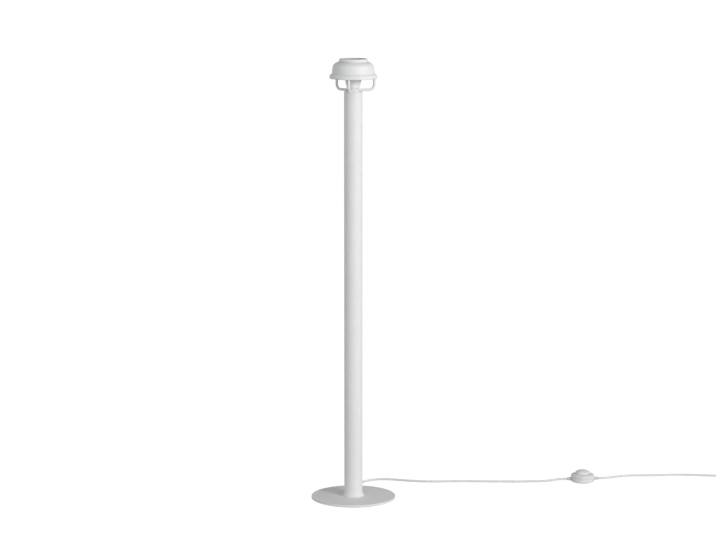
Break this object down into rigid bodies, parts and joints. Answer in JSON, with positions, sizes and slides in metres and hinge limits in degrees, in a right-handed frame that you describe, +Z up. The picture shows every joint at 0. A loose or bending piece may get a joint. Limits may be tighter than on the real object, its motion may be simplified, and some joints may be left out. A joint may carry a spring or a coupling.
{
  "type": "mushroom floor lamp",
  "caption": "Floor lamp with a disc base, a plain tube stem, a small domed shade on a cage of bent rods, a lampholder, and a foot switch on its cord.",
  "frame": {"origin": "centre of the round base, on the floor", "axes": "+Z up along the stem, +Y to the back of the lamp where the cord comes out, +X to the right, the side where the foot switch lies"},
  "size_m": [1.277, 0.3816, 1.2168],
  "materials": {
    "white_powder_coat": "fine satin powder coat, white",
    "pad_rubber": "matt grey foam rubber",
    "zinc_steel": "bright zinc plate",
    "spring_steel": "drawn wire",
    "brass": "turned",
    "nickel_brass": "nickel plated",
    "holder_plastic": "white moulded plastic, half gloss",
    "insert_ceramic": "glazed porcelain, off-white",
    "cord_sheath": "white sheathed round cord",
    "lead_insulation": "insulated single core",
    "switch_plastic": "white moulded plastic, half gloss",
    "works_plastic": "natural moulded plastic",
    "relief_plastic": "soft moulded plastic, light grey",
    "plug_plastic": "white soft moulded plastic",
    "tie_strap": "woven hook and loop strap"
  },
  "bodies": {
    "lamp": {"arm_rod_front": "white_powder_coat", "arm_rod_left": "white_powder_coat", "arm_rod_right": "white_powder_coat", "base_pad": "pad_rubber", "base_plate": "white_powder_coat", "base_plate_screws": "zinc_steel", "cage_hub": "white_powder_coat", "cord_coil": "cord_sheath", "cord_gland": "holder_plastic", "cord_gland_nut": "holder_plastic", "cord_ties": "tie_strap", "cord_to_coil": "cord_sheath", "cord_to_plug": "cord_sheath", "cord_to_switch": "cord_sheath", "inner_cable": "cord_sheath", "lampholder_contact": "brass", "lampholder_cup": "holder_plastic", "lampholder_insert": "insert_ceramic", "lampholder_leads": "lead_insulation", "lampholder_skirt": "holder_plastic", "lampholder_terminal_screws": "brass", "lampholder_thread_shell": "nickel_brass", "nipple_nuts": "zinc_steel", "nipple_washer": "zinc_steel", "plug_body": "plug_plastic", "plug_pins": "nickel_brass", "plug_strain_relief": "plug_plastic", "rim_grub_screws": "zinc_steel", "rim_ring": "white_powder_coat", "shade_dome": "white_powder_coat", "shade_neck": "white_powder_coat", "stem_foot_boss": "zinc_steel", "stem_foot_collar": "white_powder_coat", "stem_top_cap": "white_powder_coat", "stem_tube": "white_powder_coat", "switch_case_screws": "zinc_steel", "switch_contact_block": "works_plastic", "switch_cord_tails": "cord_sheath", "switch_inlet_relief": "relief_plastic", "switch_lower_shell": "switch_plastic", "switch_outlet_relief": "relief_plastic", "switch_pad": "pad_rubber", "switch_return_spring": "spring_steel", "switch_terminal_screws": "brass", "switch_upper_shell": "switch_plastic", "threaded_nipple": "zinc_steel"},
    "foot_button": {"switch_button": "switch_plastic", "switch_plunger": "works_plastic"}
  },
  "joints": [
    {"name": "foot_button_press", "type": "slide", "parent": "lamp", "child": "foot_button", "axis": [0, 0, -1], "range_m": [0, 0.003], "stiffness_N_per_m": 1200, "springref_m": -0.006, "deforming": ["switch_return_spring"]}
  ]
}
